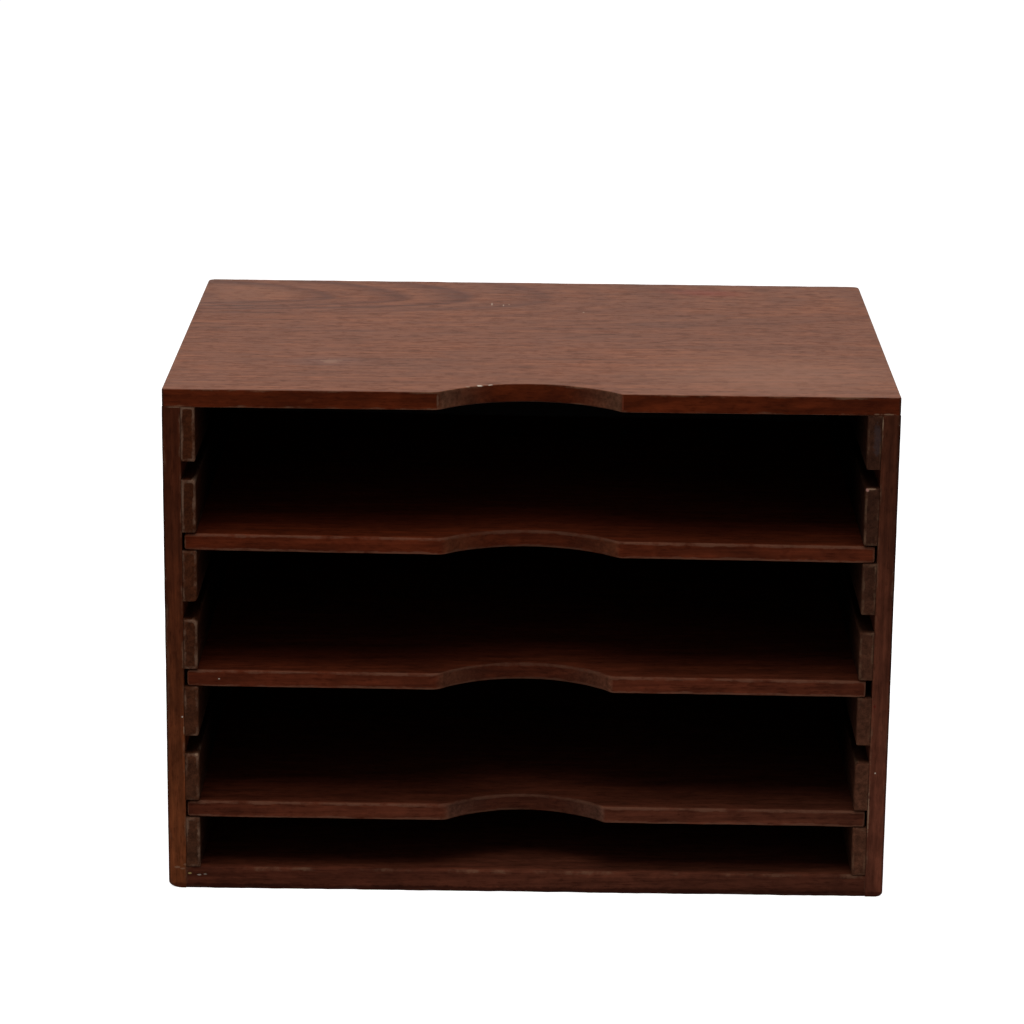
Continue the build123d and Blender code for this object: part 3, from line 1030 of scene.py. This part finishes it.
# %% [markdown]
# ## From outlines to a board
#
# The outlines of all stations stand one behind the other like the ribs of a boat. Quads join neighbouring
# ones, and a few smaller copies run over each end to one flat face that closes it. Extruding a face and
# adding a Bevel modifier would be shorter, but then no arris could wander on its own.

# %% Carry an outline along a board
AXES_OF = {"X": (0, 1, 2), "Y": (1, 0, 2), "Z": (2, 0, 1)}


def carried(axis, along, corners, radii, round_low, round_high):
    """Carries a rounded outline along an axis and closes both ends.

    Row i is the outline at station i, drawn in near the ends by the quarter-round that ends the
    board. Smaller copies of the first and last outline close the ends. Gives the points as rows,
    one for each outline, and each point's distance to the nearest arris.
    """
    from_low, from_high = run_from(along[0], along), run_from(along[-1], along)
    drawn_in = ease(from_low, round_low) + ease(from_high, round_high)
    body = inset(corners, drawn_in)
    outline, edge = rounded(body, radii)
    to_end = np.minimum(from_low - round_low, from_high - round_high).clip(0.0)
    edge = np.minimum(edge, to_end[:, None])
    closing = []
    for row in (0, -1):
        sides = np.linalg.norm(np.roll(body[row], -1, axis=0) - body[row], axis=-1)
        depths = np.minimum(NEAR_ARRIS, NEAR_SHARE * sides.min())
        smaller = inset(np.repeat(body[row][None], len(depths), axis=0), depths)
        smaller_radii = np.maximum(radii[row] - depths[:, None], SHARPEST)
        copies, _ = rounded(smaller, smaller_radii)
        closing.append((copies, np.repeat(depths[:, None], copies.shape[1], axis=1)))
    (low_end, low_edge), (high_end, high_edge) = closing
    flat = np.concatenate([low_end[::-1], outline, high_end])
    edge = np.concatenate([low_edge[::-1], edge, high_edge])
    places = np.pad(along, (len(low_end), len(high_end)), mode="edge")
    points = np.empty((*flat.shape[:2], 3))
    first, second, third = AXES_OF[axis]
    points[..., first] = places[:, None]
    points[..., second] = flat[..., 0]
    points[..., third] = flat[..., 1]
    return points, edge


def closed_faces(rows, count):
    """Quads between neighbouring outlines, and one flat face to close each end."""
    index = np.arange(rows * count).reshape(rows, count)
    beside = np.roll(index, -1, axis=1)
    quads = np.stack([index[:-1], beside[:-1], beside[1:], index[1:]], axis=-1).reshape(-1, 4)
    return quads.tolist() + [index[0][::-1].tolist(), index[-1].tolist()]


def volume_of(points):
    """The signed volume inside the outlines: it is negative if the faces point inwards."""
    middle = points.reshape(-1, 3).mean(axis=0)
    here = points - middle
    a, b = here[:-1], np.roll(here, -1, axis=1)[:-1]
    c, d = np.roll(here, -1, axis=1)[1:], here[1:]
    return (np.einsum("ijk,ijk->", a, np.cross(b, c)) + np.einsum("ijk,ijk->", a, np.cross(c, d))) / 6


def make_board(name, node, material, points, edge):
    """Makes a mesh of the points, gives it its finish, and lets it stand for a node of the model."""
    if volume_of(points) < 0:
        points, edge = points[:, ::-1], edge[:, ::-1]
    mesh = bpy.data.meshes.new(name)
    mesh.from_pydata(points.reshape(-1, 3).tolist(), [], closed_faces(*points.shape[:2]))
    to_arris = mesh.attributes.new("edge", "FLOAT", "POINT").data
    to_arris.foreach_set("value", (edge / MM).astype(np.float32).ravel())
    mesh.shade_smooth()
    mesh.materials.append(material)
    piece = bpy.data.objects.new(name, mesh)
    bpy.context.scene.collection.objects.link(piece)
    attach(piece, frame["nodes"][node]["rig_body"])
    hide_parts(node)
    return piece


print("boards are ready to be made")

# %% [markdown]
# ## The top, with its finger scoop
#
# The scoop is a bite out of the front edge, sawn on a circle and softened at both corners. Seen from
# above it is a line: straight, a small arc, the big circle, another small arc, and straight again.

# %% Top
TOP_ARRISES = (0.4 * MM, 0.4 * MM, 0.9 * MM, 0.45 * MM)
TOP_END_ARRIS = 1.0 * MM
TOP_FRONT_CORNER = 1.5 * MM
TOP_REAR_CORNER = 4.0 * MM
BOARD_STEP = 1.3 * MM


def scoop(centre, mouth, depth, left, right):
    """A scoop's measures in millimetres: left and right are the radii of its two corners."""
    names = ("centre", "mouth", "depth", "left", "right")
    return {name: size * MM for name, size in zip(names, (centre, mouth, depth, left, right))}


def scooped_front(along, front, scoop):
    """The front edge of a board as seen from above, with its scoop.

    A circle of radius R = (half mouth^2 + depth^2) / (2 depth) is cut away. At each end of the mouth
    a smaller arc of radius r touches both the circle and the straight edge, so its centre is r
    behind the edge and R + r from the circle's centre.
    """
    half, depth = scoop["mouth"] / 2, scoop["depth"]
    big = (half**2 + depth**2) / (2 * depth)
    circle = front + depth - big
    offset = along - scoop["centre"]
    line = np.full_like(along, front)
    for sign, small in ((-1, scoop["left"]), (1, scoop["right"])):
        out_by = np.sqrt((big + small) ** 2 - (front + small - circle) ** 2)
        touch = out_by * big / (big + small)
        across = np.abs(offset)
        on_side = offset * sign >= 0
        on_corner = on_side & (across >= touch) & (across < out_by)
        on_circle = on_side & (across < touch)
        corner_run = np.clip(small**2 - (out_by - across) ** 2, 0.0, None)
        line = np.where(on_corner, front + small - np.sqrt(corner_run), line)
        line = np.where(on_circle, circle + np.sqrt(np.clip(big**2 - offset**2, 0.0, None)), line)
    return line


TOP_SCOOP = scoop(-0.5, 90.0, 19.6, 8.0, 2.0)
TOP_KNOCKS = [
    (3, -25 * MM, 1.6 * MM, 0.6 * MM),
    (3, -21 * MM, 1.0 * MM, 0.4 * MM),
    (3, 108 * MM, 3 * MM, 0.4 * MM),
]
low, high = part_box("top_panel")
along = stations(low.x, high.x, BOARD_STEP, TOP_REAR_CORNER)
run = np.minimum(run_from(low.x, along), run_from(high.x, along))
front = scooped_front(along, low.y, TOP_SCOOP) + ease(run, TOP_FRONT_CORNER)
rear = high.y - ease(run, TOP_REAR_CORNER)
corners = rectangle(front, rear, low.z, high.z)
radii = wandering(along, TOP_ARRISES, 10, TOP_KNOCKS)
points, edge = carried("X", along, corners, radii, TOP_END_ARRIS, TOP_END_ARRIS)
top_board = make_board("top_board", "top_panel", top_sheen_wood, points, edge)
# The upright faces take the darker top edge wood; the upward faces keep the paler copy with its painted
# sheen and overhead light.
top_board.data.materials.append(top_edge_wood)
upright = [int(abs(face.normal.z) < 0.5) for face in top_board.data.polygons]
top_board.data.polygons.foreach_set("material_index", upright)
print("top:", len(top_board.data.vertices), "points,", round(abs(volume_of(points)) / MM**3), "cubic mm")

# %% [markdown]
# ## The sides and the bottom
#
# The sides stand on the desk, and the foot's outer corner is rounded over. At the rear each has a rebate
# for the thin back, so its outline has six corners. The left foot has lost a chip at the front. The
# bottom lies between them and is flush with their front edges.

# %% Sides and bottom
SIDE_THICKNESS = 9.0 * MM
REBATE_WIDTH = 4.5 * MM
BACK_THICKNESS = 4.0 * MM
FOOT_CORNER = 2.5 * MM
FOOT_ARRIS = 0.4 * MM
HEAD_ARRIS = 0.25 * MM
OUTER_ARRIS = 1.0 * MM
JOINT_ARRIS = 0.35 * MM
PLAIN_ARRIS = 0.2 * MM


def side_corners(hand, outer, low, high):
    """The outline of a side seen from above, anticlockwise, with the rebate for the back."""
    inner = hand * (high.x if hand > 0 else -low.x) - hand * SIDE_THICKNESS
    rebate = inner + hand * REBATE_WIDTH
    back_face = high.y - BACK_THICKNESS
    still = np.ones_like(outer)
    ring = [
        (outer, low.y * still),
        (inner * still, low.y * still),
        (inner * still, back_face * still),
        (rebate * still, back_face * still),
        (rebate * still, high.y * still),
        (outer, high.y * still),
    ]
    if hand > 0:
        ring = ring[1::-1] + ring[:1:-1]
    return np.stack([np.stack(corner, axis=-1) for corner in ring], axis=1)


REBATE_ARRISES = (0.2 * MM, 0.1 * MM, 0.3 * MM)
LEFT_ARRISES = (OUTER_ARRIS, JOINT_ARRIS, *REBATE_ARRISES, OUTER_ARRIS)
RIGHT_ARRISES = (JOINT_ARRIS, OUTER_ARRIS, OUTER_ARRIS, *REBATE_ARRISES[::-1])
FOOT_CHIP = (0, 0.0, 2.2 * MM, 4.0 * MM)
LEFT_KNOCKS = [FOOT_CHIP, (0, 118 * MM, 3 * MM, 0.6 * MM)]
RIGHT_KNOCKS = [(1, 0.0, 2.0 * MM, 1.2 * MM)]
SIDES = {
    "left": (-1, left_side_wood, LEFT_ARRISES, 30, LEFT_KNOCKS),
    "right": (1, right_side_wood, RIGHT_ARRISES, 50, RIGHT_KNOCKS),
}
for word, (hand, material, arrises, seed, knocks) in SIDES.items():
    node = f"{word}_side_panel"
    low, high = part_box(node)
    along = stations(low.z, high.z, BOARD_STEP, FOOT_CORNER)
    face = high.x if hand > 0 else low.x
    outer = face - hand * ease(run_from(low.z, along), FOOT_CORNER)
    corners = side_corners(hand, outer, low, high)
    radii = wandering(along, arrises, seed, knocks)
    points, edge = carried("Z", along, corners, radii, FOOT_ARRIS, HEAD_ARRIS)
    make_board(f"{word}_side_board", node, material, points, edge)
    print(word, "side: volume", round(abs(volume_of(points)) / MM**3), "cubic mm")

low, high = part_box("bottom_panel")
along = stations(low.x, high.x, BOARD_STEP, OUTER_ARRIS)
corners = rectangle(np.full_like(along, low.y), high.y, low.z, high.z)
radii = wandering(along, (OUTER_ARRIS, PLAIN_ARRIS, PLAIN_ARRIS, OUTER_ARRIS), 70)
points, edge = carried("X", along, corners, radii, PLAIN_ARRIS, PLAIN_ARRIS)
make_board("bottom_board", "bottom_panel", bottom_wood, points, edge)

# %% [markdown]
# ## The cleats
#
# Fourteen strips, seven a side, glued to the sides from front to back. The gap between two is a slot.
# What shows most is their cut front end, with a soft worn line all round it, so the outline is carried
# from front to back and its front end is rounded.

# %% Cleats
CLEAT_ARRIS = 0.8 * MM
CLEAT_FRONT = 0.7 * MM
CLEAT_STEP = 2.5 * MM
CLEAT_COUNT = 7
CLEAT_KNOCKS = {
    ("left", 2): (2, 4, 0.9),
    ("left", 4): (2, 6, 1.4),
    ("left", 5): (1, 4, 0.8),
    ("left", 6): (2, 5, 0.9),
    ("right", 2): (3, 5, 1.2),
    ("right", 6): (3, 4, 0.8),
}
for word, hand, material in (("left", -1, left_cleat_wood), ("right", 1, right_cleat_wood)):
    for number in range(1, CLEAT_COUNT + 1):
        node = f"{word}_cleat_{number}"
        low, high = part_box(node)
        along = stations(low.y, high.y, CLEAT_STEP, CLEAT_FRONT)
        corners = rectangle(np.full_like(along, low.x), high.x, low.z, high.z)
        below = CLEAT_ARRIS if number > 1 else PLAIN_ARRIS
        above = CLEAT_ARRIS if number < CLEAT_COUNT else PLAIN_ARRIS
        arrises = [PLAIN_ARRIS, below, above, PLAIN_ARRIS]
        if hand > 0:
            arrises = [below, PLAIN_ARRIS, PLAIN_ARRIS, above]
        seed = 100 + 10 * number + (5 if hand > 0 else 0)
        corner, width, depth = CLEAT_KNOCKS.get((word, number), (0, 1, 0))
        knock = (corner, FRONT_FACE, width * MM, depth * MM)
        radii = wandering(along, arrises, seed, [knock])
        points, edge = carried("Y", along, corners, radii, CLEAT_FRONT, PLAIN_ARRIS)
        make_board(f"{word}_strip_{number}", node, material, points, edge)
print("cleats:", 2 * CLEAT_COUNT)

# %% [markdown]
# ## The shelves
#
# Each shelf lies on the floors of a left and a right slot, which were cut by hand and aren't quite level
# with each other, so it lies at a slight tilt. Its outline is carried from left to right like the top's,
# and then turned and lifted onto the two floors.

# %% Shelves
SHELF_THICKNESS = 8.3 * MM
SHELF_REST = 0.3 * MM
SHELF_ARRISES = (0.8 * MM, 0.5 * MM, 0.5 * MM, 0.8 * MM)
SHELF_FRONT_CORNER = 0.8 * MM
SHELF_END_ARRIS = 0.5 * MM
LEFT_END = 1.6 * MM
RIGHT_END = 0.9 * MM
SHELVES = {
    "lower": (1, -170.3 * MM, 169.9 * MM, scoop(-0.8, 80.0, 17.0, 8.0, 3.0)),
    "middle": (3, -169.5 * MM, 167.9 * MM, scoop(-1.5, 87.0, 20.3, 10.0, 2.0)),
    "upper": (5, -170.0 * MM, 169.9 * MM, scoop(0.5, 87.0, 17.8, 10.0, 6.0)),
}
for seed, (word, (slot, left_end, right_end, bite)) in enumerate(SHELVES.items(), start=300):
    node = f"{word}_shelf"
    low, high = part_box(node)
    along = stations(left_end, right_end, BOARD_STEP, LEFT_END)
    from_left, from_right = run_from(left_end, along), run_from(right_end, along)
    thinner = ease(from_left, LEFT_END) + ease(from_right, RIGHT_END)
    front = scooped_front(along, low.y, bite)
    front = front + ease(np.minimum(from_left, from_right), SHELF_FRONT_CORNER)
    corners = rectangle(front, high.y, thinner, SHELF_THICKNESS - thinner)
    radii = wandering(along, SHELF_ARRISES, 10 * seed)
    points, edge = carried("X", along, corners, radii, SHELF_END_ARRIS, SHELF_END_ARRIS)
    left_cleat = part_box(f"left_cleat_{slot}")[1]
    right_low, right_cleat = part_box(f"right_cleat_{slot}")
    tilt = np.arctan2(left_cleat.z - right_cleat.z, right_low.x - left_cleat.x)
    turn = np.array([[np.cos(tilt), 0, np.sin(tilt)], [0, 1, 0], [-np.sin(tilt), 0, np.cos(tilt)]])
    lift = (left_cleat.z + right_cleat.z) / 2 + SHELF_REST
    points = points @ turn.T + np.array([0.0, 0.0, lift])
    make_board(f"{word}_shelf_board", node, shelf_wood, points, edge)
    print(word, f"shelf lies tilted by {np.degrees(tilt):.2f} degrees")

# %% [markdown]
# ## The pieces that stay
#
# The back, the brads and the tongues are hardly seen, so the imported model's own solids serve for them,
# and they only take a finish. Rebuilding them as the boards were would add faces that nobody looks at.

# %% Finishes of the nodes that stay
STAYING = {"back_panel": back_wood, "back_brads": brad_steel}
STAYING.update({name: raw_wood for name in frame["nodes"] if name.endswith("tongue")})
for name, material in STAYING.items():
    mesh = frame["nodes"][name].data
    mesh.materials.clear()
    mesh.materials.append(material)
print("finished nodes:", len(STAYING))
